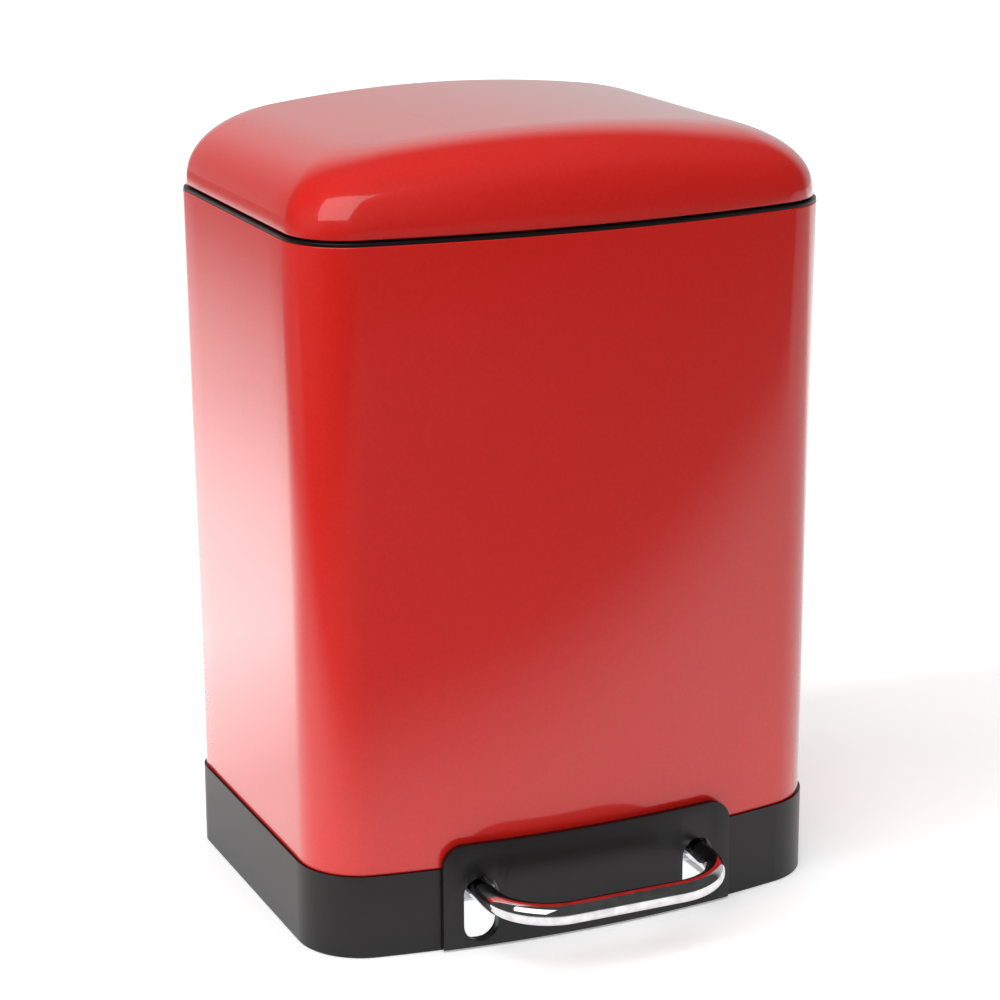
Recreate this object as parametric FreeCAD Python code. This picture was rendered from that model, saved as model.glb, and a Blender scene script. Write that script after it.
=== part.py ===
"""Rectangular pedal bin: steel sleeve on a plastic base, domed lid, lift-out bucket, pedal linkage.

Frame, in mm: origin on the floor under the middle of the sleeve, +X right, +Y back, +Z up.
"""
import FreeCAD, Part
import math
import os

Vector = FreeCAD.Vector
os.makedirs("parts", exist_ok=True)

# Sleeve, the painted steel body
body_width = 203.5
body_depth = 149.2
body_top = 257.0
front_bow = 12.2
front_corner_radius = 24.6
back_corner_radius = 14.0
taper = 0.0152
sleeve_wall = 0.8

# Clearances
part_gap = 0.4
fit_gap = 0.1
running_gap = 0.05
fixed_gap = 0.02

# Base moulding
base_height = 31.0
base_proud = 0.9
base_wall = 2.5
ledge_depth = 3.0
screw_boss_depth = 7.46
base_screw_x = 60.0
slot_margin = 0.5
front_cut_depth = 14.0
upstand_wall = 2.5
deck_bottom = 41.0
deck_thickness = 2.0
pad_radius = 7.0
pad_height = 2.0
pad_x = 82.0
pad_front_y = -45.0
pad_back_y = 55.0

# Pedal fascia
fascia_half_width = 57.5
fascia_height = 40.0
fascia_thickness = 2.5
fascia_lift = 0.6
fascia_corner_radius = 8.5
slot_width = 13.0
slot_bottom = 2.7
slot_top = 27.2
fascia_screw_x = 20.0
fascia_screw_z = 16.0
boss_radius = 3.5
boss_length = 6.0

# Pedal bar, lever and axle
pedal_half_width = 43.5
pedal_rod_radius = 4.0
pedal_reach = 30.0
pedal_bend_radius = 22.0
pedal_rod_z = 22.0
axle_y = -40.0
axle_z = 10.0
axle_radius = 3.0
bracket_x = 60.0
bracket_thickness = 4.0
bracket_half_depth = 9.0
bush_wall = 2.0
bush_flange = 1.0
bush_flange_radius = 7.5
clip_thickness = 1.0
clip_wall = 3.0
hub_radius = 7.0
socket_half_width = 7.0
socket_length = 18.0
lever_half_thickness = 2.0
lever_drop = 3.0
lever_half_height = 5.0
lever_tail = 8.0
pedal_travel = 14.5

# Push rod
rod_radius = 2.0
rod_x = 8.0
rod_y = 62.5
rod_bend_radius = 5.0
rod_play = 0.6
rod_tail = 4.0
guide_z = 140.0
guide_height = 12.0
guide_half_width = 8.0
guide_wall = 3.0

# Rim band
rim_inset = 0.3
rim_height = 1.3
rim_lip = 6.0
rim_leg_wall = 1.5
rim_leg_length = 10.0

# Lid
lid_inset = 1.3
lid_gap = 0.6
lid_height = 31.1
lid_wall = 1.0
lid_side_blend = 31.5
lid_front_blend = 33.2
lid_back_blend = 6.2
lid_side_drop = 10.2
lid_power = 2.55
crown_flat = 0.25
liner_width = 5.7
liner_thickness = 2.5
liner_gap = 0.8
pad_half_width = 16.0
buffer_radius = 2.2
buffer_thickness = 1.5
buffer_stand = 0.3

# Lid hinge
hinge_offset = 6.4
hinge_rise = 1.0
pin_radius = 2.5
hinge_hub_radius = 6.0
hinge_hub_half_length = 7.0
housing_half_width = 24.0
housing_depth = 14.4
housing_drop = 32.0
housing_edge_radius = 4.0
hinge_screw_x = 16.0
hinge_screw_drop = 22.0
ear_radius = 7.0
crank_play = 0.85
crank_rim = 2.7
crank_lead = 0.8
arm_half_thickness = 2.0
flange_half_width = 14.0
flange_thickness = 2.0
flange_length = 23.0
screw_radius = 1.5
screw_head_radius = 3.0
screw_head_height = 1.8

# Bucket and bail
bucket_side_gap = 9.7
bucket_front_y = -62.0
bucket_back_gap = 1.0
bucket_drop = 5.0
bucket_wall = 1.6
bucket_draft = 3.0
bucket_corner_radius = 18.0
flange_lip = 3.2
flange_lip_height = 2.0
bail_radius = 1.5
bail_y = -6.0
bail_set_in = 6.5
bail_lift = 0.5
bail_bend_radius = 14.0
bail_end_bend = 3.0
lug_thickness = 2.3
lug_half_depth = 4.0
lug_height = 5.2
grip_radius = 4.0
grip_half_length = 22.0

# Places that follow from the sizes
deck_top = deck_bottom + deck_thickness
rim_top = body_top + rim_height
lid_edge_z = rim_top + lid_gap
hinge_y = body_depth / 2 + hinge_offset
hinge_z = body_top + hinge_rise
lever_length = rod_y - axle_y
pedal_angle = math.radians(pedal_travel)
rod_foot_z = axle_z - lever_drop
rod_lift = lever_length * math.tan(pedal_angle) - lever_drop * (1 / math.cos(pedal_angle) - 1)
crank_reach = hinge_y - rod_y
crank_angle = math.atan2(rod_lift / 2, crank_reach)
rod_head_z = hinge_z - rod_lift / 2
lid_travel = 2 * (math.degrees(crank_angle) + crank_lead)
crank_end = math.hypot(crank_reach, rod_lift / 2) + rod_radius + crank_play + crank_rim
bucket_top = body_top - bucket_drop
bucket_back_y = hinge_y - crank_end - flange_lip - bucket_back_gap
bail_far_y = bucket_back_y - bail_set_in
base_screw_z = (base_height + deck_bottom) / 2
hinge_screw_z = hinge_z - hinge_screw_drop
notch_half_width = arm_half_thickness + part_gap
notch_bottom = hinge_z - crank_end * math.sin(crank_angle) / 2 - hinge_hub_radius


def box(x0, x1, y0, y1, z0, z1):
    return Part.makeBox(x1 - x0, y1 - y0, z1 - z0, Vector(x0, y0, z0))


def cylinder_x(x0, x1, y, z, radius):
    return Part.makeCylinder(radius, x1 - x0, Vector(x0, y, z), Vector(1, 0, 0))


def cylinder_y(y0, y1, x, z, radius):
    return Part.makeCylinder(radius, y1 - y0, Vector(x, y0, z), Vector(0, 1, 0))


def cylinder_z(z0, z1, x, y, radius):
    return Part.makeCylinder(radius, z1 - z0, Vector(x, y, z0), Vector(0, 0, 1))


def fuse(solids):
    return solids[0].multiFuse(solids[1:]).removeSplitter()


def plate(points, x0, x1):
    """A flat plate across X whose outline is a list of (y, z) points."""
    corners = [Vector(x0, y, z) for y, z in points]
    face = Part.Face(Part.makePolygon(corners + corners[:1]))
    return face.extrude(Vector(x1 - x0, 0, 0))


def stadium(start, end, radius, x0, x1):
    """A round-ended bar across X between two (y, z) centres."""
    run_y = end[0] - start[0]
    run_z = end[1] - start[1]
    length = math.hypot(run_y, run_z)
    side_y = -run_z / length * radius
    side_z = run_y / length * radius
    middle = plate([(start[0] + side_y, start[1] + side_z), (end[0] + side_y, end[1] + side_z),
                    (end[0] - side_y, end[1] - side_z), (start[0] - side_y, start[1] - side_z)], x0, x1)
    ends = [cylinder_x(x0, x1, y, z, radius) for y, z in (start, end)]
    return fuse([middle] + ends)


def bent_rod(points, bend_radii, radius):
    """A round rod along straight runs joined by tangent arcs, one bend at each inner point."""
    corners = [Vector(*point) for point in points]
    edges = []
    last = corners[0]
    for index, bend in enumerate(bend_radii, start=1):
        corner = corners[index]
        into = (corner - corners[index - 1]).normalize()
        out = (corners[index + 1] - corner).normalize()
        half_turn = into.getAngle(out) / 2
        tangent = bend * math.tan(half_turn)
        inward = (out - into).normalize()
        first = corner - into * tangent
        final = corner + out * tangent
        middle = corner + inward * (bend / math.cos(half_turn) - bend)
        edges.append(Part.LineSegment(last, first).toShape())
        edges.append(Part.Arc(first, middle, final).toShape())
        last = final
    edges.append(Part.LineSegment(last, corners[-1]).toShape())
    start_direction = corners[1] - corners[0]
    section = Part.Wire(Part.Circle(corners[0], start_direction, radius).toShape())
    return Part.Wire(edges).makePipeShell([section], True, False)


def plan_sizes(z, inset):
    """Sizes of the sleeve's plan at a height, moved inwards all round by an inset."""
    scale = 1 - taper * (1 - max(z, base_height) / body_top)
    half_width = scale * body_width / 2
    half_depth = scale * body_depth / 2
    bow = scale * front_bow
    corner = scale * front_corner_radius
    back = scale * back_corner_radius
    arc = (half_width ** 2 + bow ** 2) / (2 * bow)
    arc_y = arc - half_depth
    corner_x = half_width - corner
    corner_y = arc_y - math.sqrt((arc - corner) ** 2 - corner_x ** 2)
    return {"side": half_width - inset, "rear": half_depth - inset, "arc": arc - inset, "arc_y": arc_y,
            "corner": corner - inset, "corner_x": corner_x, "corner_y": corner_y,
            "back": back - inset, "back_x": half_width - back, "back_y": half_depth - back}


def plan_points(plan):
    """Right-hand points of the plan: on the front arc, the two corners and the tangent points between."""
    reach_x = plan["corner_x"]
    reach_y = plan["corner_y"] - plan["arc_y"]
    reach = math.hypot(reach_x, reach_y)
    angle = math.atan2(reach_y, reach_x) / 2
    turn = math.sqrt(0.5)
    return [(plan["arc"] * reach_x / reach, plan["arc_y"] + plan["arc"] * reach_y / reach),
            (reach_x + plan["corner"] * math.cos(angle), plan["corner_y"] + plan["corner"] * math.sin(angle)),
            (plan["side"], plan["corner_y"]),
            (plan["side"], plan["back_y"]),
            (plan["back_x"] + plan["back"] * turn, plan["back_y"] + plan["back"] * turn),
            (plan["back_x"], plan["rear"])]


def plan_wire(z, inset):
    plan = plan_sizes(z, inset)
    right = [Vector(x, y, z) for x, y in plan_points(plan)]
    left = [Vector(-point.x, point.y, z) for point in right]
    front = Vector(0, plan["arc_y"] - plan["arc"], z)
    edges = [Part.Arc(left[0], front, right[0]), Part.Arc(*right[0:3]),
             Part.LineSegment(right[2], right[3]), Part.Arc(*right[3:6]),
             Part.LineSegment(right[5], left[5]), Part.Arc(left[5], left[4], left[3]),
             Part.LineSegment(left[3], left[2]), Part.Arc(left[2], left[1], left[0])]
    return Part.Wire([edge.toShape() for edge in edges])


def plan_block(z0, z1, inset):
    """A block that fills the sleeve's plan between two heights and follows its taper."""
    lower = plan_wire(z0, inset)
    upper = plan_wire(z1, inset)
    faces = [Part.Face(lower), Part.Face(upper)]
    for low, high in zip(lower.Edges, upper.Edges):
        if low.Curve.TypeId == "Part::GeomLine":
            corners = [vertex.Point for vertex in low.Vertexes]
            far = [vertex.Point for vertex in high.Vertexes]
            if corners[1].distanceToPoint(far[0]) > corners[1].distanceToPoint(far[1]):
                far.reverse()
            faces.append(Part.Face(Part.makePolygon(corners + far + corners[:1])))
        else:
            faces.append(Part.makeRuledSurface(low, high))
    shell = Part.makeShell(faces)
    shell.sewShape()
    block = Part.Solid(shell)
    if block.Volume < 0:
        block.reverse()
    return block


def plan_ring(z0, z1, outer_inset, inner_inset):
    return plan_block(z0, z1, outer_inset).cut(plan_block(z0, z1, inner_inset))


def base_block(z0, z1, inset):
    """An upright block that fills the base's plan, which doesn't taper."""
    face = Part.Face(plan_wire(base_height, inset))
    face.translate(Vector(0, 0, z0 - base_height))
    return face.extrude(Vector(0, 0, z1 - z0))


def front_y(x, inset, z):
    """Y of the bowed front at a place across it."""
    plan = plan_sizes(z, inset)
    return plan["arc_y"] - math.sqrt(plan["arc"] ** 2 - x ** 2)


def screw_y(x, y, z, direction, length, head_height=screw_head_height):
    """A pan-head screw along Y: its head's underside is at y and its shank runs the given way."""
    shank = Part.makeCylinder(screw_radius, length, Vector(x, y, z), Vector(0, direction, 0))
    head = Part.makeCylinder(screw_head_radius, head_height, Vector(x, y, z), Vector(0, -direction, 0))
    return fuse([shank, head])


def ring_x(x0, x1, y, z, inner_radius, outer_radius):
    return cylinder_x(x0, x1, y, z, outer_radius).cut(cylinder_x(x0 - 1, x1 + 1, y, z, inner_radius))


def mirrored(solid):
    return solid.mirror(Vector(0, 0, 0), Vector(1, 0, 0))


def body_sleeve():
    sleeve = plan_ring(base_height, body_top, 0, sleeve_wall)
    notch = box(-notch_half_width, notch_half_width, rod_y, hinge_y, notch_bottom, body_top + 1)
    cuts = [notch]
    for side in (-1, 1):
        cuts.append(cylinder_y(rod_y, hinge_y, side * hinge_screw_x, hinge_screw_z, screw_radius + fit_gap))
        cuts.append(cylinder_y(rod_y, hinge_y, side * base_screw_x, base_screw_z, screw_radius + fit_gap))
    return sleeve.cut(cuts)


def rim_band():
    leg_inset = sleeve_wall + fit_gap
    flange = plan_ring(body_top, rim_top, rim_inset, rim_lip)
    leg = plan_ring(body_top - rim_leg_length, body_top, leg_inset, leg_inset + rim_leg_wall)
    notch = box(-notch_half_width, notch_half_width, rod_y, hinge_y, 0, rim_top + 1)
    return fuse([flange, leg]).cut(notch)


def pedal_slot(x, depth_start, depth_end, margin):
    """The upright round-ended slot that an arm of the pedal bar moves in."""
    radius = slot_width / 2 + margin
    low = slot_bottom + slot_width / 2
    high = slot_top - slot_width / 2
    ends = [cylinder_y(depth_start, depth_end, x, z, radius) for z in (low, high)]
    return fuse([box(x - radius, x + radius, depth_start, depth_end, low, high)] + ends)


def axle_bracket(side):
    inner = side * bracket_x
    outer = side * (bracket_x + bracket_thickness)
    x0, x1 = min(inner, outer), max(inner, outer)
    half = bracket_half_depth
    web = box(x0, x1, axle_y - half, axle_y + half, axle_z, deck_bottom)
    foot = cylinder_x(x0, x1, axle_y, axle_z, half)
    return fuse([web, foot.common(box(x0, x1, axle_y - half, axle_y + half, pad_height, axle_z + half))])


def base():
    skirt = plan_ring(0, base_height, -base_proud, -base_proud + base_wall)
    leg_inset = sleeve_wall + fit_gap
    ledge = plan_ring(base_height - ledge_depth, base_height, -base_proud, leg_inset + upstand_wall)
    upstand = plan_ring(base_height, deck_bottom, leg_inset, leg_inset + upstand_wall)
    deck = plan_block(deck_bottom, deck_top, leg_inset)
    columns = [cylinder_z(pad_height, deck_bottom, side * pad_x, y, pad_radius)
               for side in (-1, 1) for y in (pad_front_y, pad_back_y)]
    boss_start = body_depth / 2 - screw_boss_depth
    bosses = [cylinder_y(boss_start, plan_sizes(base_height, leg_inset)["rear"],
                         side * base_screw_x, base_screw_z, boss_radius) for side in (-1, 1)]
    moulding = fuse([skirt, ledge, upstand, deck] + columns + bosses
                    + [axle_bracket(side) for side in (-1, 1)])
    front = front_y(0, -base_proud, 0) - 1
    cuts = [cylinder_z(deck_bottom - 1, deck_top + 1, rod_x, rod_y, rod_radius + rod_play)]
    for side in (-1, 1):
        cuts.append(pedal_slot(side * pedal_half_width, front, front + front_cut_depth, slot_margin))
        cuts.append(cylinder_y(front, front + front_cut_depth, side * fascia_screw_x, fascia_screw_z,
                               boss_radius + fit_gap))
        cuts.append(cylinder_y(boss_start - 1, hinge_y, side * base_screw_x, base_screw_z,
                               screw_radius + fit_gap))
        bores = sorted([side * (bracket_x - 1), side * (bracket_x + bracket_thickness + 1)])
        cuts.append(cylinder_x(bores[0], bores[1], axle_y, axle_z,
                               axle_radius + running_gap + bush_wall + fixed_gap))
    return moulding.cut(cuts)


def base_pads():
    return [cylinder_z(0, pad_height, side * pad_x, y, pad_radius)
            for side in (-1, 1) for y in (pad_front_y, pad_back_y)]


def base_screws():
    wall_y = plan_sizes(base_screw_z, 0)["rear"] + fit_gap
    return [screw_y(side * base_screw_x, wall_y, base_screw_z, -1, 5.0) for side in (-1, 1)]


def pedal_fascia():
    back = base_block(fascia_lift, fascia_height, -base_proud - fit_gap)
    front = base_block(fascia_lift, fascia_height, -base_proud - fascia_thickness)
    panel = front.cut(back)
    radius = fascia_corner_radius
    half = fascia_half_width
    depth = body_depth
    window = fuse([box(-half, half, -depth, 0, fascia_lift, fascia_height - radius),
                   box(-half + radius, half - radius, -depth, 0, fascia_height - 2 * radius, fascia_height)]
                  + [cylinder_y(-depth, 0, side * (half - radius), fascia_height - radius, radius)
                     for side in (-1, 1)])
    panel = panel.common(window)
    pieces = [panel]
    cuts = []
    for side in (-1, 1):
        x = side * fascia_screw_x
        face = front_y(x, -base_proud, 0)
        pieces.append(cylinder_y(face - 1, face + boss_length, x, fascia_screw_z, boss_radius))
        cuts.append(cylinder_y(face + 0.5, face + boss_length + 1, x, fascia_screw_z, screw_radius + fixed_gap))
        cuts.append(pedal_slot(side * pedal_half_width, face - 20, face + 20, 0))
    return fuse(pieces).cut(cuts)


def fascia_screws():
    face = front_y(fascia_screw_x, -base_proud, 0) + boss_length
    return [screw_y(side * fascia_screw_x, face, fascia_screw_z, -1, boss_length - 1) for side in (-1, 1)]


def axle_bushes():
    bore = axle_radius + running_gap
    sleeve = ring_x(bracket_x - bush_flange, bracket_x + bracket_thickness, axle_y, axle_z, bore, bore + bush_wall)
    flange = ring_x(bracket_x - bush_flange, bracket_x, axle_y, axle_z, bore, bush_flange_radius)
    bush = fuse([sleeve, flange])
    return [bush, mirrored(bush)]


def pedal_axle():
    half = bracket_x + bracket_thickness + fit_gap + 2 * clip_thickness
    return cylinder_x(-half, half, axle_y, axle_z, axle_radius)


def axle_clips():
    start = bracket_x + bracket_thickness + fit_gap
    clip = ring_x(start, start + clip_thickness, axle_y, axle_z, axle_radius + fixed_gap, axle_radius + clip_wall)
    return [clip, mirrored(clip)]


def socket_front():
    return front_y(pedal_half_width, -base_proud + base_wall, 0) + 5.5


def pedal_lever():
    half_hub = bracket_x - bush_flange - part_gap
    hub = cylinder_x(-half_hub, half_hub, axle_y, axle_z, hub_radius)
    half = socket_half_width
    pieces = [hub]
    cuts = [cylinder_x(-half_hub - 1, half_hub + 1, axle_y, axle_z, axle_radius + running_gap)]
    for side in (-1, 1):
        x = side * pedal_half_width
        pieces.append(box(x - half, x + half, socket_front(), axle_y + hub_radius - 1, pedal_rod_z - half,
                          pedal_rod_z + half))
        cuts.append(cylinder_y(socket_front() - 1, socket_front() + socket_length, x, pedal_rod_z,
                               pedal_rod_radius + fixed_gap))
    low = rod_foot_z - lever_half_height
    high = rod_foot_z + lever_half_height
    tail = rod_y + lever_tail
    pieces.append(plate([(axle_y, axle_z + hub_radius - 1), (rod_y - lever_tail, high), (tail, high),
                         (tail, low), (rod_y - lever_tail, low), (axle_y, axle_z - hub_radius + 1)],
                        -lever_half_thickness, lever_half_thickness))
    slide = (lever_length - lever_drop * math.sin(pedal_angle)) / math.cos(pedal_angle) - lever_length
    cuts.append(stadium((rod_y, rod_foot_z), (rod_y + slide, rod_foot_z), rod_radius + rod_play,
                        -lever_half_thickness - 1, lever_half_thickness + 1))
    return fuse(pieces).cut(cuts)


def pedal_bar():
    half = pedal_half_width
    fascia_face = front_y(half, -base_proud - fascia_thickness, 0)
    bar_y = fascia_face - pedal_reach
    rear = socket_front() + socket_length - part_gap
    corners = [(-half, rear, pedal_rod_z), (-half, bar_y, pedal_rod_z),
               (half, bar_y, pedal_rod_z), (half, rear, pedal_rod_z)]
    return bent_rod(corners, [pedal_bend_radius, pedal_bend_radius], pedal_rod_radius)


def push_rod():
    tip = -(lever_half_thickness + rod_tail)
    corners = [(tip, rod_y, rod_foot_z), (rod_x, rod_y, rod_foot_z),
               (rod_x, rod_y, rod_head_z), (tip, rod_y, rod_head_z)]
    return bent_rod(corners, [rod_bend_radius, rod_bend_radius], rod_radius)


def push_rod_clips():
    start = -(lever_half_thickness + rod_play)
    return [ring_x(start - clip_thickness, start, rod_y, z, rod_radius + fixed_gap, rod_radius + clip_wall)
            for z in (rod_foot_z, rod_head_z)]


def rod_guide():
    front = rod_y - rod_radius - guide_wall
    block = box(rod_x - guide_half_width, rod_x + guide_half_width, front, body_depth / 2,
                guide_z, guide_z + guide_height)
    block = block.common(plan_block(base_height, body_top, sleeve_wall))
    return block.cut(cylinder_z(guide_z - 1, guide_z + guide_height + 1, rod_x, rod_y, rod_radius + fit_gap))


def hinge_housing():
    wall_y = body_depth / 2
    back = wall_y + housing_depth
    slot = hinge_hub_half_length + part_gap
    block = box(-housing_half_width, housing_half_width, wall_y, back, hinge_z - housing_drop, hinge_z)
    outer_edges = [edge for edge in block.Edges if abs(edge.CenterOfMass.y - back) < 0.01]
    block = block.makeFillet(housing_edge_radius, outer_edges)
    ears = cylinder_x(-housing_half_width, housing_half_width, hinge_y, hinge_z, ear_radius)
    ears = ears.common(box(-housing_half_width, housing_half_width, wall_y, back, hinge_z - 9, hinge_z + 9))
    middle = box(-slot, slot, wall_y - 1, back + 1, notch_bottom - 2, hinge_z + ear_radius + 1)
    cuts = [middle, cylinder_x(-housing_half_width - 1, housing_half_width + 1, hinge_y, hinge_z,
                               pin_radius + fixed_gap)]
    for side in (-1, 1):
        cuts.append(cylinder_y(wall_y - 1, wall_y + 7, side * hinge_screw_x, hinge_screw_z,
                               screw_radius + fixed_gap))
    return fuse([block, ears]).cut(cuts)


def hinge_pin():
    half = housing_half_width + 2 * clip_thickness
    return cylinder_x(-half, half, hinge_y, hinge_z, pin_radius)


def hinge_pin_clips():
    start = housing_half_width
    clip = ring_x(start, start + clip_thickness, hinge_y, hinge_z, pin_radius + fixed_gap,
                  pin_radius + clip_wall)
    return [clip, mirrored(clip)]


def hinge_screws():
    wall_y = plan_sizes(hinge_screw_z, sleeve_wall)["rear"] - 2 * fit_gap
    return [screw_y(side * hinge_screw_x, wall_y, hinge_screw_z, 1, 6.0) for side in (-1, 1)]


def dome_height(x, level, wall):
    """Height of the lid's surface over its edge: full at level 0, nothing at level 1."""
    half_width = body_width / 2 - lid_inset
    crown = lid_height - wall - lid_side_drop * (x / half_width) ** 2
    return crown * max(0.0, 1 - level ** lid_power) ** (1 / lid_power)


def outline_samples(wire, count_per_edge):
    """Points round a closed wire, each edge divided evenly, from the middle of the back and back to it."""
    points = []
    for edge, count in zip(wire.OrderedEdges, count_per_edge):
        samples = edge.discretize(count + 1)
        if edge.Orientation == "Reversed":
            samples.reverse()
        if points and samples[0].distanceToPoint(points[-1]) > 0.01:
            samples.reverse()
        points.extend(samples if not points else samples[1:])
    start = sum(count_per_edge[:4]) + count_per_edge[4] // 2
    turned = points[start:-1] + points[:start]
    return turned + turned[:1]


def even_knots(pole_count, degree):
    """Knots and multiplicities of an even spline that ends at its first and last poles."""
    spans = pole_count - degree
    return [index / spans for index in range(spans + 1)], [degree + 1] + [1] * (spans - 1) + [degree + 1]


def smooth_face(rows):
    """A smooth face that is drawn towards rows of points and never passes outside them."""
    degree = 3
    row_knots, row_mults = even_knots(len(rows), degree)
    point_knots, point_mults = even_knots(len(rows[0]), degree)
    surface = Part.BSplineSurface()
    surface.buildFromPolesMultsKnots(rows, row_mults, point_mults, row_knots, point_knots, False, False,
                                     degree, degree)
    return surface.toShape()


def dome_faces(wall):
    """The lid's surface: rows of points from its edge inwards and up to the flat middle of the crown."""
    wire = plan_wire(body_top, lid_inset + wall)
    outline = outline_samples(wire, [8, 6, 6, 4, 8, 4, 6, 6])
    half_width = max(point.x for point in outline)
    low_y = min(point.y for point in outline)
    high_y = max(point.y for point in outline)
    side_blend = lid_side_blend - wall
    front_blend = lid_front_blend - wall
    back_blend = lid_back_blend - wall
    steps = 6
    rows = []
    for step in range(steps + 1):
        angle = math.pi / 2 * step / steps
        level = math.cos(angle) ** (2 / lid_power) if step < steps else 0.0
        inward = 1 - level
        width_scale = (half_width - side_blend * inward) / half_width
        depth_scale = 1 - (front_blend + back_blend) * inward / (high_y - low_y)
        row = []
        for point in outline:
            x = point.x * width_scale
            y = high_y - back_blend * inward + (point.y - high_y) * depth_scale
            row.append(Vector(x, y, lid_edge_z + dome_height(x, level, wall)))
        rows.append(row)
    middle_y = (rows[-1][0].y + max(point.y for point in rows[-1])) / 2
    inner = rows[-1]
    for scale in (0.7, 0.4, crown_flat):
        row = []
        for point in inner:
            x = point.x * scale
            y = middle_y + (point.y - middle_y) * scale
            rise_x = 0 if scale == crown_flat else x
            row.append(Vector(x, y, lid_edge_z + dome_height(rise_x, 0.0, wall)))
        rows.append(row)
    front = len(outline) // 2
    return [smooth_face([row[:front + 1] for row in rows]), smooth_face([row[front:] for row in rows])]


def closed_dome(wall):
    """The solid between the dome's two halves, the flat of its crown and the plane of its lower edge."""
    halves = dome_faces(wall)
    rims = [edge for half in halves for edge in half.Edges if edge.BoundBox.ZLength < 0.01]
    lower = [edge for edge in rims if edge.BoundBox.ZMax < lid_edge_z + 1]
    upper = [edge for edge in rims if edge.BoundBox.ZMax > lid_edge_z + 1]
    shell = Part.makeShell(halves + [Part.Face(Part.Wire(lower)), Part.Face(Part.Wire(upper))])
    shell.sewShape()
    dome = Part.Solid(shell)
    if dome.Volume < 0:
        dome.reverse()
    return dome


def lid_shell():
    dome = closed_dome(0).cut(closed_dome(lid_wall))
    notch = box(-notch_half_width, notch_half_width, rod_y, hinge_y, lid_edge_z - 1, hinge_z + 10)
    return dome.cut(notch)


def lid_liner():
    outer_inset = lid_inset + lid_wall + liner_gap
    rear_y = body_depth / 2 - outer_inset
    top = lid_edge_z + liner_thickness
    outer = plan_wire(body_top, outer_inset)
    inner = plan_wire(body_top, outer_inset + liner_width)
    ring = Part.Face(outer).cut(Part.Face(inner)).extrude(Vector(0, 0, liner_thickness))
    ring.translate(Vector(0, 0, lid_edge_z - body_top))
    pad = box(-pad_half_width, pad_half_width, flange_front() - 2, rear_y - 1, lid_edge_z, top)
    cuts = []
    for x, y in buffer_places():
        cuts.append(cylinder_z(lid_edge_z - 1, lid_edge_z + buffer_thickness, x, y, buffer_radius + fixed_gap))
    for x, y in arm_screw_places():
        cuts.append(cylinder_z(lid_edge_z + 0.5, top + 1, x, y, screw_radius + fixed_gap))
    return fuse([ring, pad]).cut(cuts)


def flange_front():
    return hinge_y - 10 - flange_length


def arm_screw_places():
    return [(side * flange_half_width * 0.65, flange_front() + flange_length * 0.4) for side in (-1, 1)]


def buffer_places():
    inset = lid_inset + lid_wall + liner_gap + liner_width / 2
    side_x = body_width / 2 - inset
    return [(side * side_x, y) for side in (-1, 1) for y in (-35.0, 50.0)]


def lid_buffers():
    return [cylinder_z(lid_edge_z - buffer_stand, lid_edge_z + buffer_thickness, x, y, buffer_radius)
            for x, y in buffer_places()]


def lid_arm():
    liner_top = lid_edge_z + liner_thickness
    flange_top = liner_top + flange_thickness
    half = arm_half_thickness
    hub_half = hinge_hub_half_length
    slant = crank_angle + math.radians(crank_lead)
    near = crank_reach
    far = math.hypot(crank_reach, rod_lift / 2)
    clear = rod_radius + crank_play
    start = (hinge_y - near * math.cos(slant), hinge_z - near * math.sin(slant))
    end = (hinge_y - far * math.cos(slant), hinge_z - far * math.sin(slant))
    crank = stadium((hinge_y, hinge_z), end, clear + crank_rim, -half, half)
    hub = cylinder_x(-hub_half, hub_half, hinge_y, hinge_z, hinge_hub_radius)
    web = plate([(hinge_y + 3, hinge_z + 4), (hinge_y - 2, hinge_z + 9), (hinge_y - 14, hinge_z + 9),
                 (hinge_y - 17, flange_top), (flange_front(), flange_top), (flange_front(), liner_top),
                 (hinge_y - 8.6, liner_top), (hinge_y - 5, hinge_z - 2)], -half, half)
    flange = box(-flange_half_width, flange_half_width, flange_front(), hinge_y - 10.4, liner_top, flange_top)
    cuts = [stadium(start, end, clear, -half - 1, half + 1),
            cylinder_x(-hub_half - 1, hub_half + 1, hinge_y, hinge_z, pin_radius + running_gap)]
    for x, y in arm_screw_places():
        cuts.append(cylinder_z(liner_top - 1, flange_top + 1, x, y, screw_radius + fit_gap))
    return fuse([crank, hub, web, flange]).cut(cuts)


def arm_screws():
    liner_top = lid_edge_z + liner_thickness
    head_z = liner_top + flange_thickness
    screws = []
    for x, y in arm_screw_places():
        shank = cylinder_z(lid_edge_z + 0.7, head_z, x, y, screw_radius)
        head = cylinder_z(head_z, head_z + screw_head_height, x, y, screw_head_radius)
        screws.append(fuse([shank, head]))
    return screws


def bucket_wire(z, half_width, front, back, radius):
    """A rounded rectangle in plan."""
    turn = math.sqrt(0.5) * radius
    edges = []
    corners = [(half_width, front, 1, -1), (half_width, back, 1, 1),
               (-half_width, back, -1, 1), (-half_width, front, -1, -1)]
    arcs = []
    for x, y, sign_x, sign_y in corners:
        centre = Vector(x - sign_x * radius, y - sign_y * radius, z)
        along_x = centre + Vector(0, sign_y * radius, 0)
        along_y = centre + Vector(sign_x * radius, 0, 0)
        middle = centre + Vector(sign_x * turn, sign_y * turn, 0)
        first, last = (along_x, along_y) if sign_x * sign_y < 0 else (along_y, along_x)
        arcs.append((first, middle, last))
    for index, (first, middle, last) in enumerate(arcs):
        edges.append(Part.Arc(first, middle, last).toShape())
        edges.append(Part.LineSegment(last, arcs[(index + 1) % 4][0]).toShape())
    return Part.Wire(edges)


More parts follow.
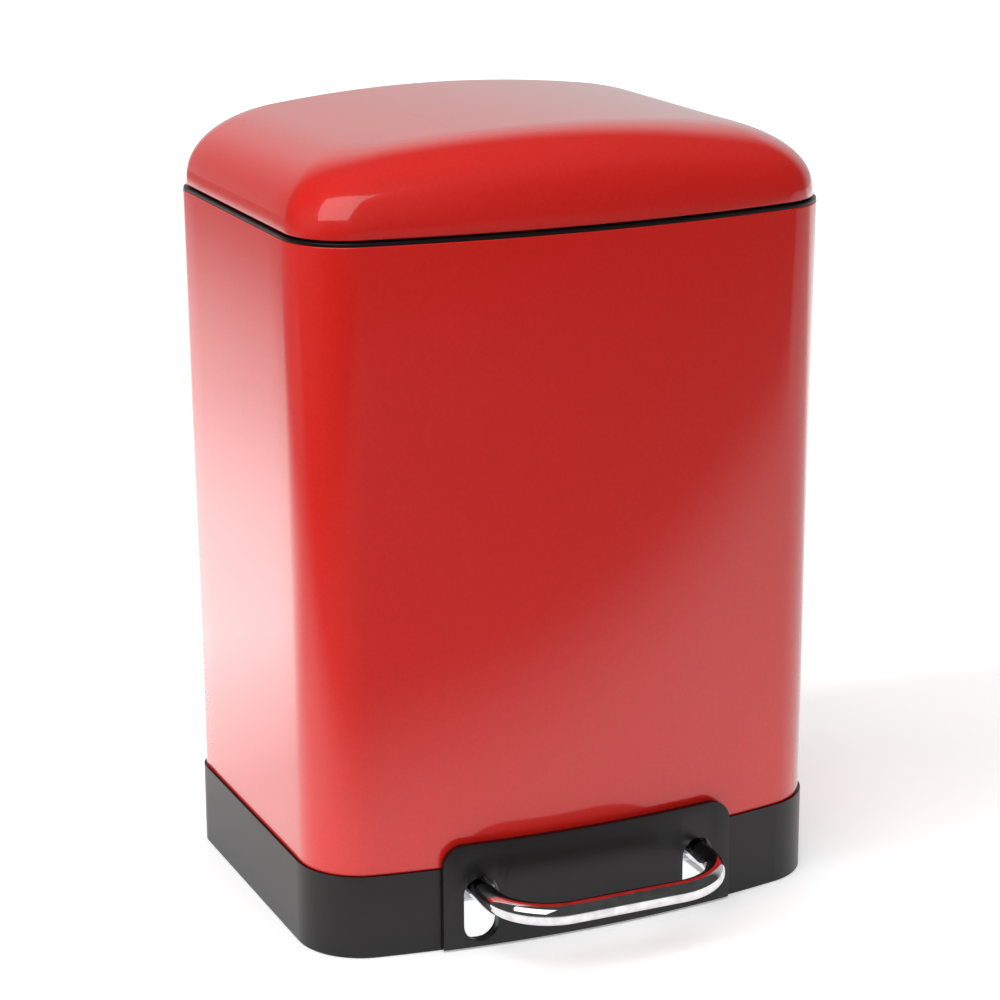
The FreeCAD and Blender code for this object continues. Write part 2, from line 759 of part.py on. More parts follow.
def bucket_block(z0, z1, grow):
    """The bucket's tapered outer form between two heights, larger or smaller by grow."""
    sections = []
    for z in (z0, z1):
        draft = bucket_draft * (bucket_top - z) / (bucket_top - deck_top) - grow
        sections.append(bucket_wire(z, bucket_half_width() - draft, bucket_front_y + draft,
                                    bucket_back_y - draft, bucket_corner_radius - draft))
    return Part.makeLoft(sections, True, True)


def bucket_half_width():
    return body_width / 2 - bucket_side_gap


def bucket():
    outside = bucket_block(deck_top, bucket_top, 0)
    inside = bucket_block(deck_top + bucket_wall, bucket_top + 1, -bucket_wall)
    lip = bucket_block(bucket_top - flange_lip_height, bucket_top, flange_lip)
    lugs = []
    outer = bucket_half_width() + flange_lip
    for side in (-1, 1):
        x0 = min(side * outer, side * (outer - lug_thickness))
        half = lug_half_depth
        lugs.append(box(x0, x0 + lug_thickness, bail_y - half, bail_y + half, bucket_top - flange_lip_height,
                        bucket_top + lug_height))
    bore = cylinder_x(-outer - 1, outer + 1, bail_y, bail_z(), bail_radius + running_gap)
    return fuse([outside, lip] + lugs).cut([inside, bore])


def bail_z():
    return bucket_top + bail_lift + bail_radius


def bucket_bail():
    tip = bucket_half_width() + flange_lip
    side_x = tip - lug_thickness - bail_end_bend
    z = bail_z()
    corners = [(-tip, bail_y, z), (-side_x, bail_y, z), (-side_x, bail_far_y, z),
               (side_x, bail_far_y, z), (side_x, bail_y, z), (tip, bail_y, z)]
    bends = [bail_end_bend, bail_bend_radius, bail_bend_radius, bail_end_bend]
    return bent_rod(corners, bends, bail_radius)


def bail_grip():
    return ring_x(-grip_half_length, grip_half_length, bail_far_y, bail_z(), bail_radius + fixed_gap, grip_radius)


def save(name, solids):
    shape = Part.makeCompound(solids) if isinstance(solids, list) else solids
    shape.exportStep("parts/" + name + ".step")
    print(name, len(shape.Solids), round(shape.Volume), shape.isValid())


for make in (body_sleeve, rim_band, base, base_pads, base_screws, pedal_fascia, fascia_screws, axle_bushes,
             pedal_axle, axle_clips, pedal_lever, pedal_bar, push_rod, push_rod_clips, rod_guide, hinge_housing,
             hinge_pin, hinge_pin_clips, hinge_screws, lid_shell, lid_liner, lid_buffers, lid_arm, arm_screws,
             bucket, bucket_bail, bail_grip):
    save(make.__name__, make())

print("pedal travel", pedal_travel, "lid travel", round(lid_travel, 3), "rod lift", round(rod_lift, 3))
print("hinge", hinge_y, hinge_z, "axle", axle_y, axle_z, "bail", bail_y, bail_z())
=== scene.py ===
import bpy
import math
from mathutils import Matrix, Vector


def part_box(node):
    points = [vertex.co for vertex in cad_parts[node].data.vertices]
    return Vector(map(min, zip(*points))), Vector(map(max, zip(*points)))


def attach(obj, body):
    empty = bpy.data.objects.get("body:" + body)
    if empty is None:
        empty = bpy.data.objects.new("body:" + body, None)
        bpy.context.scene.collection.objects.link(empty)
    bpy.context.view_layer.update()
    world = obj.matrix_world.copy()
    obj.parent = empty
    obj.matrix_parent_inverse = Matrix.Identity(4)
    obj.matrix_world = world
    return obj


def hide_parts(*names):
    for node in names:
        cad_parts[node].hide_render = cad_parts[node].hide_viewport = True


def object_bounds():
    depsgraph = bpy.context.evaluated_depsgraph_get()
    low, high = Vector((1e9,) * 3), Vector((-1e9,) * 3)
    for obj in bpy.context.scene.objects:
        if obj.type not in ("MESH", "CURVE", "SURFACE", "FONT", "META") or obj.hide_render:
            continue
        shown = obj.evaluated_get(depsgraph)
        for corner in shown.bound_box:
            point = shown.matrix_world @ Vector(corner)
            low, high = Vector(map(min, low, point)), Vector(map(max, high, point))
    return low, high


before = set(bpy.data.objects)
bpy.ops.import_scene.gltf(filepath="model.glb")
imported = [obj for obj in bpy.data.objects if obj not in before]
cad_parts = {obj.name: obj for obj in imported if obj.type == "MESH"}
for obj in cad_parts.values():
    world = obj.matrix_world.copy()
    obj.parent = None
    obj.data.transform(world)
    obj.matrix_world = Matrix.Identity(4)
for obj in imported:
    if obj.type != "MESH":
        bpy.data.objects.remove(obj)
cad_low, cad_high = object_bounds()

# Studio: a camera, a pale floor and soft lights for a product on a white ground. The floor's colour carries
# painted shade in front and at the far left, and behind the can it glows with painted light. The room is bright
# behind and to the left and dim in front, so the can's front stays deep red and its left side shines.
camera_data = bpy.data.cameras.new("studio_camera")
camera_data.lens = 104.6
camera_data.sensor_width = 36.0
studio_camera = bpy.data.objects.new("studio_camera", camera_data)
bpy.context.scene.collection.objects.link(studio_camera)
camera_place = Vector((-0.42537, -0.95230, 0.44506))
look = Vector((0.38986, 0.87766, -0.27879)).normalized()
upward = Vector((0.11748, 0.25287, 0.96034))
sideways = look.cross(upward).normalized()
upward = sideways.cross(look).normalized()
turn = Matrix((sideways, upward, -look)).transposed()
studio_camera.matrix_world = Matrix.Translation(camera_place) @ turn.to_4x4()
bpy.context.scene.camera = studio_camera
bpy.context.scene.view_settings.view_transform = "Standard"


def nodes_of(material):
    """The material's node tree and its Principled shader, ready for more nodes."""
    material.use_nodes = True
    tree = material.node_tree
    return tree, tree.nodes["Principled BSDF"]


floor_size = 8.0
floor_front = 3.0
floor_middle_y = floor_size / 2 - floor_front
floor_z = cad_low[2] - 0.0003
paper_z = cad_low[2] - 0.0002
dim_far, dim_near = 0.36, 0.15
dark_side, light_side = -0.75, -0.20
bpy.ops.object.select_all(action="DESELECT")
bpy.ops.mesh.primitive_plane_add(size=floor_size, location=(0, floor_middle_y, floor_z))
studio_floor = bpy.context.object
studio_floor.name = "studio_floor"
floor_painted_shade_and_glow = bpy.data.materials.new("floor_painted_shade_and_glow")
floor_tree, floor_shader = nodes_of(floor_painted_shade_and_glow)
floor_place = floor_tree.nodes.new("ShaderNodeTexCoord")
floor_slant = floor_tree.nodes.new("ShaderNodeVectorMath")
floor_slant.operation = "DOT_PRODUCT"
floor_slant.inputs[1].default_value = (0.47, 1, 0)
# Painted shade: the floor's colour falls to 0.17 towards the front and to 0.15 towards the far left, so the can's
# front reflects a dark floor.
floor_front_shade = floor_tree.nodes.new("ShaderNodeMapRange")
floor_front_shade.interpolation_type = "SMOOTHSTEP"
floor_front_shade.inputs["From Min"].default_value = -floor_middle_y - dim_far
floor_front_shade.inputs["From Max"].default_value = -floor_middle_y - dim_near
floor_front_shade.inputs["To Min"].default_value = 0.17
floor_front_shade.inputs["To Max"].default_value = 0.93
floor_split = floor_tree.nodes.new("ShaderNodeSeparateXYZ")
floor_left_shade = floor_tree.nodes.new("ShaderNodeMapRange")
floor_left_shade.interpolation_type = "SMOOTHSTEP"
floor_left_shade.inputs["From Min"].default_value = dark_side
floor_left_shade.inputs["From Max"].default_value = light_side
floor_left_shade.inputs["To Min"].default_value = 0.15
floor_shade = floor_tree.nodes.new("ShaderNodeMath")
floor_shade.operation = "MULTIPLY"
floor_tree.links.new(floor_place.outputs["Object"], floor_slant.inputs[0])
floor_tree.links.new(floor_place.outputs["Object"], floor_split.inputs["Vector"])
floor_tree.links.new(floor_slant.outputs["Value"], floor_front_shade.inputs["Value"])
floor_tree.links.new(floor_split.outputs["X"], floor_left_shade.inputs["Value"])
floor_tree.links.new(floor_front_shade.outputs["Result"], floor_shade.inputs[0])
floor_tree.links.new(floor_left_shade.outputs["Result"], floor_shade.inputs[1])
floor_tree.links.new(floor_shade.outputs[0], floor_shader.inputs["Base Color"])

# Painted light: behind the can the floor glows by itself, weakly near the can and brightly far behind it, and the
# glow is dimmed by the same painted shade as the floor's colour.
floor_depth = floor_tree.nodes.new("ShaderNodeMapRange")
floor_depth.inputs["From Min"].default_value = -floor_middle_y
floor_depth.inputs["From Max"].default_value = -floor_middle_y + 2.0
floor_glow = floor_tree.nodes.new("ShaderNodeValToRGB")
floor_glow.color_ramp.elements[0].position = 0.05
floor_glow.color_ramp.elements[0].color = (0.22, 0.22, 0.22, 1)
floor_glow.color_ramp.elements[1].position = 0.6
floor_glow.color_ramp.elements[1].color = (0.70, 0.70, 0.70, 1)
for place, glow in ((0.14, 0.85), (0.25, 0.80), (0.40, 0.60)):
    floor_glow.color_ramp.elements.new(place).color = (glow, glow, glow, 1)
floor_painted_glow = floor_tree.nodes.new("ShaderNodeMath")
floor_painted_glow.operation = "MULTIPLY"
floor_tree.links.new(floor_split.outputs["Y"], floor_depth.inputs["Value"])
floor_tree.links.new(floor_depth.outputs["Result"], floor_glow.inputs["Fac"])
floor_tree.links.new(floor_glow.outputs["Color"], floor_painted_glow.inputs[0])
floor_tree.links.new(floor_shade.outputs[0], floor_painted_glow.inputs[1])
floor_tree.links.new(floor_painted_glow.outputs[0], floor_shader.inputs["Emission Color"])
floor_shader.inputs["Emission Strength"].default_value = 1.5
floor_shader.inputs["Roughness"].default_value = 0.6
studio_floor.data.materials.append(floor_painted_shade_and_glow)

# Painted light: a sheet on the floor under the can glows by itself, so the pedal's slots show white where the
# inside of the base would be in shade.
paper_y = -0.046
paper_width, paper_depth = 0.118, 0.036
bpy.ops.mesh.primitive_plane_add(size=1, location=(0, paper_y, paper_z))
glow_sheet_under_can = bpy.context.object
glow_sheet_under_can.name = "glow_sheet_under_can"
glow_sheet_under_can.scale = (paper_width, paper_depth, 1)
paper_glow = bpy.data.materials.new("paper_glow")
paper_shader = nodes_of(paper_glow)[1]
paper_shader.inputs["Base Color"].default_value = (0.9, 0.9, 0.9, 1)
paper_shader.inputs["Emission Color"].default_value = (1, 1, 1, 1)
paper_shader.inputs["Emission Strength"].default_value = 0.85
glow_sheet_under_can.data.materials.append(paper_glow)

room = bpy.data.worlds.new("studio_room")
bpy.context.scene.world = room
room.use_nodes = True
room_tree = room.node_tree
room_light = room_tree.nodes["Background"]
room_place = room_tree.nodes.new("ShaderNodeTexCoord")
room_dot = room_tree.nodes.new("ShaderNodeVectorMath")
room_dot.operation = "DOT_PRODUCT"
room_dot.inputs[1].default_value = (0.50, 0.85, -0.20)
room_fade = room_tree.nodes.new("ShaderNodeValToRGB")
room_fade.color_ramp.elements[0].position = 0.74
room_fade.color_ramp.elements[0].color = (0.11, 0.11, 0.11, 1)
room_fade.color_ramp.elements[1].position = 0.87
room_fade.color_ramp.elements[1].color = (1, 1, 1, 1)
room_shift = room_tree.nodes.new("ShaderNodeMath")
room_shift.operation = "MULTIPLY_ADD"
room_shift.inputs[1].default_value = 0.5
room_shift.inputs[2].default_value = 0.5
room_tree.links.new(room_place.outputs["Generated"], room_dot.inputs[0])
room_tree.links.new(room_dot.outputs["Value"], room_shift.inputs[0])
room_tree.links.new(room_shift.outputs[0], room_fade.inputs[0])
room_tree.links.new(room_fade.outputs["Color"], room_light.inputs["Color"])
room_light.inputs["Strength"].default_value = 0.6


def soft_box(name, place, aim, size, power, shines=True):
    """A rectangular area light at a place, turned to face a point."""
    light = bpy.data.lights.new(name, "AREA")
    light.shape = "RECTANGLE"
    light.size, light.size_y = size
    light.energy = power
    lamp = bpy.data.objects.new(name, light)
    bpy.context.scene.collection.objects.link(lamp)
    away = (Vector(place) - Vector(aim)).to_track_quat("Z", "Y")
    lamp.matrix_world = Matrix.Translation(place) @ away.to_matrix().to_4x4()
    lamp.visible_glossy = shines
    return lamp


middle = (0, 0, 0.14)
soft_box("overhead_fill", (0.1, -0.1, 1.6), middle, (2.4, 2.4), 18, shines=False)
soft_box("front_fill", (-0.5, -1.7, 0.9), middle, (1.4, 1.0), 6, shines=False)
soft_box("side_fill", (-1.4, 0.0, 0.6), middle, (1.2, 1.2), 10, shines=False)
soft_box("key_box", (-1.1, -0.9, 1.55), middle, (1.9, 1.7), 20)


# Base moulding: injection moulded black plastic that closes the sleeve's lower end and carries the
# pedal's axle. Four rubber pads sit flush with its lower edge, and two screws hold the sleeve to it.
def grained(name, colour, metallic, roughness, grain_size, grain_depth, stretch=(1, 1, 1), spread=0.15):
    """A finish whose colour, roughness and surface vary with a fine noise in object space."""
    material = bpy.data.materials.new(name)
    tree, shader = nodes_of(material)
    place = tree.nodes.new("ShaderNodeTexCoord")
    mapping = tree.nodes.new("ShaderNodeMapping")
    mapping.inputs["Scale"].default_value = stretch
    noise = tree.nodes.new("ShaderNodeTexNoise")
    noise.inputs["Scale"].default_value = 1 / grain_size
    noise.inputs["Detail"].default_value = 4
    shade = tree.nodes.new("ShaderNodeValToRGB")
    shade.color_ramp.elements[0].position = 0.3
    shade.color_ramp.elements[0].color = [channel * (1 - spread) for channel in colour] + [1]
    shade.color_ramp.elements[1].position = 0.7
    shade.color_ramp.elements[1].color = [min(1, channel * (1 + spread)) for channel in colour] + [1]
    rough = tree.nodes.new("ShaderNodeMapRange")
    rough.inputs["To Min"].default_value = roughness * (1 - spread)
    rough.inputs["To Max"].default_value = roughness * (1 + spread)
    bump = tree.nodes.new("ShaderNodeBump")
    bump.inputs["Distance"].default_value = grain_depth
    bump.inputs["Strength"].default_value = 0.5
    links = tree.links
    links.new(place.outputs["Object"], mapping.inputs["Vector"])
    links.new(mapping.outputs["Vector"], noise.inputs["Vector"])
    links.new(noise.outputs["Fac"], shade.inputs["Fac"])
    links.new(noise.outputs["Fac"], rough.inputs["Value"])
    links.new(noise.outputs["Fac"], bump.inputs["Height"])
    links.new(shade.outputs["Color"], shader.inputs["Base Color"])
    links.new(rough.outputs["Result"], shader.inputs["Roughness"])
    links.new(bump.outputs["Normal"], shader.inputs["Normal"])
    shader.inputs["Metallic"].default_value = metallic
    return material


def finish(material, *nodes):
    """Gives a finish to pieces that keep the frame's own shape."""
    for node in nodes:
        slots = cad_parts[node].data.materials
        slots.clear()
        slots.append(material)


black_moulding = grained("satin_black_moulding", (0.0040, 0.0030, 0.0034), 0, 0.34, 0.0006, 0.00002)
black_moulding.node_tree.nodes["Principled BSDF"].inputs["Specular IOR Level"].default_value = 0.42
black_rubber = grained("black_rubber", (0.02, 0.02, 0.02), 0, 0.8, 0.0008, 0.00005)
zinc_steel = grained("zinc_plated_steel", (0.50, 0.51, 0.53), 1, 0.32, 0.002, 0.00001)
finish(black_moulding, "base")
finish(black_rubber, "base_pads")
finish(zinc_steel, "base_screws")


# Pedal fascia: a second black moulding that covers the base's front and frames the two slots the
# pedal rod moves in. Its edges are softened, and two screws hold it from inside.
def softened_copy(node, name, width, material):
    """A copy of a frame piece with its doubles merged and its sharp edges rounded over."""
    bpy.ops.object.select_all(action="DESELECT")
    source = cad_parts[node]
    piece = bpy.data.objects.new(name, source.data.copy())
    bpy.context.scene.collection.objects.link(piece)
    piece.select_set(True)
    bpy.context.view_layer.objects.active = piece
    bpy.ops.object.mode_set(mode="EDIT")
    bpy.ops.mesh.select_all(action="SELECT")
    bpy.ops.mesh.remove_doubles(threshold=0.000002)
    bpy.ops.mesh.dissolve_limited(angle_limit=math.radians(0.2))
    bpy.ops.object.mode_set(mode="OBJECT")
    rounding = piece.modifiers.new("soft_edges", "BEVEL")
    rounding.width = width
    rounding.segments = 3
    rounding.limit_method = "ANGLE"
    rounding.angle_limit = math.radians(50)
    bpy.ops.object.modifier_apply(modifier=rounding.name)
    bpy.ops.object.shade_smooth_by_angle(angle=math.radians(35))
    piece.data.materials.clear()
    piece.data.materials.append(material)
    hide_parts(node)
    return piece


fascia_edge_round = 0.0005
fascia_panel = softened_copy("pedal_fascia", "fascia_panel", fascia_edge_round, black_moulding)
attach(fascia_panel, "can")
finish(zinc_steel, "fascia_screws")


# Pedal axle and lever: a steel pin turns in two plastic bushes in the base's brackets, kept by
# clips. The black lever on it reaches back under the deck to the push rod's foot.
white_nylon = grained("natural_nylon", (0.70, 0.69, 0.64), 0, 0.45, 0.001, 0.00001)
finish(white_nylon, "axle_bushes")
finish(zinc_steel, "pedal_axle", "axle_clips")
finish(zinc_steel, "pedal_lever")


# Pedal bar: one 8 mm steel rod bent to a U and chromed to a mirror. Its two arms go through the
# fascia's slots into the lever's sockets; the front stretch is what the foot presses.
def bent_stations(corners, bends, steps=14):
    """Places along straight runs joined by round bends, each with the direction of the run there."""
    corners = [Vector(corner) for corner in corners]
    stations = [(corners[0], (corners[1] - corners[0]).normalized())]
    for index, bend in enumerate(bends, start=1):
        into = (corners[index] - corners[index - 1]).normalized()
        out = (corners[index + 1] - corners[index]).normalized()
        turning = into.angle(out)
        start = corners[index] - into * bend * math.tan(turning / 2)
        inward = (out - into * math.cos(turning)) / math.sin(turning)
        for step in range(steps + 1):
            angle = turning * step / steps
            place = start + into * bend * math.sin(angle) + inward * bend * (1 - math.cos(angle))
            stations.append((place, into * math.cos(angle) + inward * math.sin(angle)))
    stations.append((corners[-1], (corners[-1] - corners[-2]).normalized()))
    return stations


def rod_loops(corners, bends, radius, upright, end_round, sides=32):
    """Rings of points round a bent rod that lies in one plane, smaller at its two rounded ends."""
    stations = bent_stations(corners, bends)
    first, first_way = stations[0]
    last, last_way = stations[-1]
    stations[0] = (first + first_way * end_round, first_way)
    stations[-1] = (last - last_way * end_round, last_way)
    rings = [(first, first_way, radius - end_round)]
    rings += [(place, way, radius) for place, way in stations]
    rings += [(last, last_way, radius - end_round)]
    upright = Vector(upright)
    loops = []
    for place, way, size in rings:
        across = way.cross(upright)
        turns = [2 * math.pi * side / sides for side in range(sides)]
        loops.append([place + size * (across * math.cos(angle) + upright * math.sin(angle))
                      for angle in turns])
    return loops


def skin(name, loops, material, open_ends=True, sharp=40):
    """A skin drawn through loops of points: a ring primitive whose edge is extruded from loop to loop."""
    bpy.ops.object.select_all(action="DESELECT")
    bpy.ops.mesh.primitive_circle_add(vertices=len(loops[0]), radius=0.001)
    piece = bpy.context.object
    piece.name = name
    piece.data.transform(piece.matrix_world)
    piece.matrix_world = Matrix.Identity(4)
    for vertex, point in zip(piece.data.vertices, loops[0]):
        vertex.co = point
    bpy.ops.object.mode_set(mode="EDIT")
    bpy.ops.mesh.select_mode(type="EDGE")
    bpy.ops.mesh.select_all(action="SELECT")
    for loop in loops[1:]:
        bpy.ops.mesh.extrude_region_move()
        bpy.ops.object.mode_set(mode="OBJECT")
        drawn = [vertex for vertex in piece.data.vertices if vertex.select]
        for vertex, point in zip(drawn, loop):
            vertex.co = point
        bpy.ops.object.mode_set(mode="EDIT")
    bpy.ops.mesh.select_all(action="SELECT")
    bpy.ops.mesh.remove_doubles(threshold=0.000001)
    if not open_ends:
        bpy.ops.mesh.fill_holes(sides=len(loops[0]))
    bpy.ops.mesh.select_all(action="SELECT")
    bpy.ops.mesh.normals_make_consistent(inside=False)
    bpy.ops.object.mode_set(mode="OBJECT")
    bpy.ops.object.shade_smooth_by_angle(angle=math.radians(sharp))
    piece.data.materials.append(material)
    return piece


mirror_chrome = grained("mirror_chrome", (0.78, 0.79, 0.80), 1, 0.05, 0.004, 0.0000005)
bar_low, bar_high = (Vector(corner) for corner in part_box("pedal_bar"))
bar_radius = 0.004
bar_half = bar_high.x - bar_radius
bar_front = bar_low.y + bar_radius
bar_z = (bar_low.z + bar_high.z) / 2
bar_bend = 0.022
bar_end_round = 0.0005
bar_corners = [(-bar_half, bar_high.y, bar_z), (-bar_half, bar_front, bar_z),
               (bar_half, bar_front, bar_z), (bar_half, bar_high.y, bar_z)]
bar_loops = rod_loops(bar_corners, [bar_bend, bar_bend], bar_radius, (0, 0, 1), bar_end_round)
chrome_bar = skin("chrome_bar", bar_loops, mirror_chrome, open_ends=False)
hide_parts("pedal_bar")
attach(chrome_bar, "pedal")


# Push rod: 4 mm drawn wire with both ends bent over, one in the lever's slot and one in the lid
# arm's, each kept by a clip. A plastic guide on the back wall keeps it upright.
drawn_steel = grained("drawn_steel_wire", (0.55, 0.56, 0.57), 1, 0.25, 0.0015, 0.00001, (1, 1, 0.05))
rod_low, rod_high = (Vector(corner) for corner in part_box("push_rod"))
rod_radius = 0.002
rod_x, rod_y = rod_high.x - rod_radius, (rod_low.y + rod_high.y) / 2
rod_foot, rod_head = rod_low.z + rod_radius, rod_high.z - rod_radius
rod_bend = 0.005
rod_end_round = 0.0004
rod_corners = [(rod_low.x, rod_y, rod_foot), (rod_x, rod_y, rod_foot), (rod_x, rod_y, rod_head),
               (rod_low.x, rod_y, rod_head)]
lift_loops = rod_loops(rod_corners, [rod_bend, rod_bend], rod_radius, (0, 1, 0), rod_end_round, sides=20)
lift_rod = skin("lift_rod", lift_loops, drawn_steel, open_ends=False)
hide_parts("push_rod")
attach(lift_rod, "rod")
finish(zinc_steel, "push_rod_clips")
finish(black_moulding, "rod_guide")


# Painted sleeve: one sheet of 0.8 mm steel bent round and seamed, enamelled red, with both edges
# dressed. A notch in its back lets the lid's arm through, and four holes take the screws.
red_paint = grained("red_enamel", (0.66, 0.016, 0.011), 0, 0.26, 0.0012, 0.0000015, spread=0.04)
red_shader = red_paint.node_tree.nodes["Principled BSDF"]
red_shader.inputs["Specular IOR Level"].default_value = 0.25
red_shader.inputs["Coat Weight"].default_value = 1.0
red_shader.inputs["Coat Roughness"].default_value = 0.05
sleeve_low, sleeve_high = (Vector(corner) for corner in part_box("body_sleeve"))
sleeve_width = sleeve_high.x - sleeve_low.x
sleeve_depth = 0.1492
front_bow = 0.0122
front_corner = 0.0246
back_corner = 0.0140
taper = 0.0152
seam_z = sleeve_low.z
arc_steps, corner_steps, side_steps, back_steps = 40, 16, 8, 12


def arc_points(centre_x, centre_y, radius, start, end, steps):
    """Points along an arc, its last one left to the next stretch."""
    angles = [start + (end - start) * step / steps for step in range(steps)]
    return [(centre_x + radius * math.cos(angle), centre_y + radius * math.sin(angle)) for angle in angles]


def straight_points(start, end, steps):
    """Points along a straight run, its last one left to the next stretch."""
    return [(start[0] + (end[0] - start[0]) * step / steps, start[1] + (end[1] - start[1]) * step / steps)
            for step in range(steps)]


def plan_loop(inset, z, height=None):
    """Points round the can's plan at a height, moved inwards by an inset, from the front left corner on."""
    scale = 1 - taper * (1 - max(z, seam_z) / sleeve_high.z)
    half_width = scale * sleeve_width / 2
    half_depth = scale * sleeve_depth / 2
    bow, front, back = scale * front_bow, scale * front_corner, scale * back_corner
    arc = (half_width ** 2 + bow ** 2) / (2 * bow)
    arc_y = arc - half_depth
    corner_x = half_width - front
    corner_y = arc_y - math.sqrt((arc - front) ** 2 - corner_x ** 2)
    meet = math.atan2(corner_y - arc_y, corner_x)
    back_x, back_y = half_width - back, half_depth - back
    side = half_width - inset
    quarter = math.pi / 2
    points = arc_points(0, arc_y, arc - inset, -math.pi - meet, meet, arc_steps)
    points += arc_points(corner_x, corner_y, front - inset, meet, 0, corner_steps)
    points += straight_points((side, corner_y), (side, back_y), side_steps)
    points += arc_points(back_x, back_y, back - inset, 0, quarter, corner_steps)
    points += straight_points((back_x, half_depth - inset), (-back_x, half_depth - inset), back_steps)
    points += arc_points(-back_x, back_y, back - inset, quarter, math.pi, corner_steps)
    points += straight_points((-side, back_y), (-side, corner_y), side_steps)
    points += arc_points(-corner_x, corner_y, front - inset, -math.pi, -math.pi - meet, corner_steps)
    return [Vector((x, y, z if height is None else height)) for x, y in points]


def round_profile(corners, radius, steps=4):
    """A closed (inset, z) profile with its corners rounded, for a wall that runs round the plan."""
    profile = []
    for index, corner in enumerate(corners):
        here = Vector(corner)
        before = Vector(corners[index - 1]) - here
        after = Vector(corners[(index + 1) % len(corners)]) - here
        cut = min(radius, before.length * 0.45, after.length * 0.45)
        start = here + before.normalized() * cut
        end = here + after.normalized() * cut
        for step in range(steps + 1):
            share = step / steps
            profile.append(start * (1 - share) ** 2 + here * 2 * share * (1 - share) + end * share ** 2)
    return profile + profile[:1]


def band(name, corners, radius, material):
    """A wall that runs all round the can's plan, with a profile of (inset, z) corners."""
    return skin(name, [plan_loop(inset, z) for inset, z in round_profile(corners, radius)], material)


def carve(piece, cutter):
    """Takes a cutter's shape out of a piece and removes the cutter."""
    bpy.ops.object.select_all(action="DESELECT")
    piece.select_set(True)
    bpy.context.view_layer.objects.active = piece
    carving = piece.modifiers.new("carving", "BOOLEAN")
    carving.operation = "DIFFERENCE"
    carving.object = cutter
    bpy.ops.object.modifier_apply(modifier=carving.name)
    bpy.data.objects.remove(cutter, do_unlink=True)
    bpy.ops.object.shade_smooth_by_angle(angle=math.radians(40))


def carve_block(piece, low, high):
    """Cuts an upright notch between two corners."""
    low, high = Vector(low), Vector(high)
    bpy.ops.object.select_all(action="DESELECT")
    bpy.ops.mesh.primitive_cube_add(size=1, location=(low + high) / 2, scale=high - low)
    carve(piece, bpy.context.object)


def carve_hole(piece, place, radius, depth):
    """Drills a round hole along Y."""
    bpy.ops.object.select_all(action="DESELECT")
    bpy.ops.mesh.primitive_cylinder_add(vertices=32, radius=radius, depth=depth, location=place,
                                        rotation=(math.pi / 2, 0, 0))
    carve(piece, bpy.context.object)


sleeve_wall = 0.0008
sleeve_edge_round = 0.00035
notch_half = 0.0024
notch_low = 0.2438
hinge_screw_x, hinge_screw_z = 0.016, 0.236
base_screw_x, base_screw_z = 0.060, 0.036
screw_hole_radius = 0.0016
drill_depth = 0.024
over_cut = 0.001
notch_depth = 0.012
back_y = sleeve_high.y
behind = back_y + 3 * over_cut
sleeve = band("painted_sleeve", [(0, seam_z), (0, sleeve_high.z), (sleeve_wall, sleeve_high.z),
                                 (sleeve_wall, seam_z)], sleeve_edge_round, red_paint)
carve_block(sleeve, (-notch_half, back_y - notch_depth, notch_low), (notch_half, behind, sleeve_high.z + over_cut))
for side in (1, -1):
    carve_hole(sleeve, (side * hinge_screw_x, back_y, hinge_screw_z), screw_hole_radius, drill_depth)
for side in (1, -1):
    carve_hole(sleeve, (side * base_screw_x, back_y, base_screw_z), screw_hole_radius, drill_depth)
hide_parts("body_sleeve")
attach(sleeve, "can")


# Rim band: a black plastic angle pushed over the sleeve's upper edge. Its flange covers the edge and
# carries the lid's buffers, and its leg hangs down inside the wall.
rim_low, rim_high = (Vector(corner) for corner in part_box("rim_band"))
flange_edge, flange_lip = 0.0003, 0.0060
leg_face = sleeve_wall + 0.0001
leg_back = leg_face + 0.0015
rim_edge_round = 0.0004
rim_notch_depth = 0.014
rim = band("rim_trim", [(flange_edge, rim_high.z), (flange_lip, rim_high.z), (flange_lip, sleeve_high.z),
                        (leg_back, sleeve_high.z), (leg_back, rim_low.z), (leg_face, rim_low.z),
                        (leg_face, sleeve_high.z), (flange_edge, sleeve_high.z)],
           rim_edge_round, black_moulding)
carve_block(rim, (-notch_half, back_y - rim_notch_depth, rim_low.z - over_cut),
            (notch_half, behind, rim_high.z + over_cut))
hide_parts("rim_band")
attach(rim, "can")


# Hinge: a black housing screwed to the back wall holds a steel pin, kept by a clip at each end,
# and the lid's arm turns on the pin between the housing's two ears.
hinge_edge_round = 0.0006
hinge_cover = softened_copy("hinge_housing", "hinge_cover", hinge_edge_round, black_moulding)
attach(hinge_cover, "can")
finish(zinc_steel, "hinge_pin", "hinge_pin_clips", "hinge_screws")


# Lid: drawn from one steel sheet and enamelled like the sleeve. It falls away steeply at the back,
# rolls over the front and sides, and its lower edge is hemmed.
lid_low, lid_high = (Vector(corner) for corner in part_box("lid_shell"))
lid_inset = 0.0013
lid_wall = 0.0010
lid_rise = lid_high.z - lid_low.z
side_blend = 0.0315
front_blend = 0.0332
back_blend = 0.0062
side_drop = 0.0102
lid_power = 2.55
lid_notch_top = 0.268
lid_half = sleeve_width / 2 - lid_inset


def lid_height(x, level, wall):
    """Height of the lid over its edge: full at level 0, nothing at level 1."""
    return (lid_rise - wall - side_drop * (x / lid_half) ** 2) * (1 - level ** lid_power) ** (1 / lid_power)


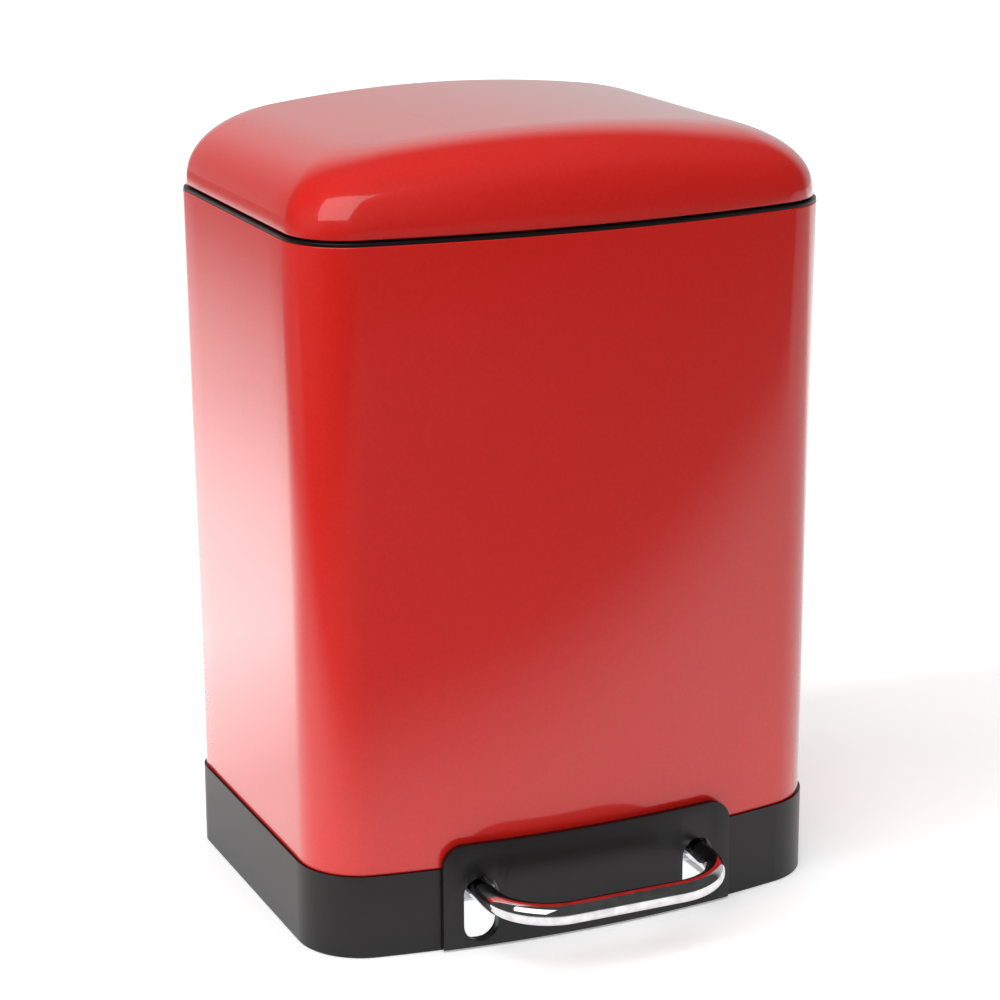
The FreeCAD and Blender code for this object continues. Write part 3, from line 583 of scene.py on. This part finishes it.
def lid_loop(angle, wall):
    """A ring of the lid's surface, from its edge at angle 0 to the crown's border at a right angle."""
    level = max(0.0, math.cos(angle)) ** (2 / lid_power)
    inward = 1 - level
    edge = plan_loop(lid_inset + wall, sleeve_high.z)
    half = lid_half - wall
    rear = max(point.y for point in edge)
    front = min(point.y for point in edge)
    narrow = 1 - (side_blend - wall) * inward / half
    shorten = 1 - (front_blend + back_blend - 2 * wall) * inward / (rear - front)
    ring = []
    for point in edge:
        x = point.x * narrow
        y = rear - (back_blend - wall) * inward + (point.y - rear) * shorten
        ring.append(Vector((x, y, lid_low.z + lid_height(x, level, wall))))
    return ring


def lid_rings(wall, blend_steps=22, crown_steps=10):
    """All rings of one side of the lid's sheet, from the edge to the middle of the crown."""
    shares = [1 - (1 - step / blend_steps) ** 1.5 for step in range(1, blend_steps + 1)]
    rings = [lid_loop(math.pi / 2 * share, wall) for share in shares]
    border = rings[-1]
    middle_y = (min(point.y for point in border) + max(point.y for point in border)) / 2
    for step in range(1, crown_steps + 1):
        share = 1 - step / crown_steps
        ring = []
        for point in border:
            x = point.x * share
            y = middle_y + (point.y - middle_y) * share
            ring.append(Vector((x, y, lid_low.z + lid_height(x, 0, wall))))
        rings.append(ring)
    return rings


hem_profile = [(0.0010, 0.0006), (0.00093, 0.00025), (0.00075, 0.00006), (0.0005, 0),
               (0.00025, 0.00006), (0.00007, 0.00025), (0, 0.0006)]
hem_rings = [plan_loop(lid_inset + inward, sleeve_high.z, lid_low.z + rise) for inward, rise in hem_profile]
lid = skin("painted_lid", lid_rings(lid_wall)[::-1] + hem_rings + lid_rings(0), red_paint)
carve_block(lid, (-notch_half, back_y - notch_depth, lid_low.z - over_cut), (notch_half, behind, lid_notch_top))
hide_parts("lid_shell")
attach(lid, "lid")
finish(black_moulding, "lid_liner")
finish(black_rubber, "lid_buffers")
finish(zinc_steel, "lid_arm", "arm_screws")


# Bucket: a lift-out liner in black polypropylene, drafted so it leaves its mould, with a turned-out
# lip and two ears for the bail.
bucket_black = grained("bucket_black", (0.018, 0.018, 0.019), 0, 0.5, 0.0009, 0.00004)
finish(bucket_black, "bucket")


# Bail: 3 mm steel wire with its ends bent out into the bucket's ears, so that it swings there,
# and a moulded plastic grip threaded on its far stretch.
finish(drawn_steel, "bucket_bail")
finish(black_moulding, "bail_grip")
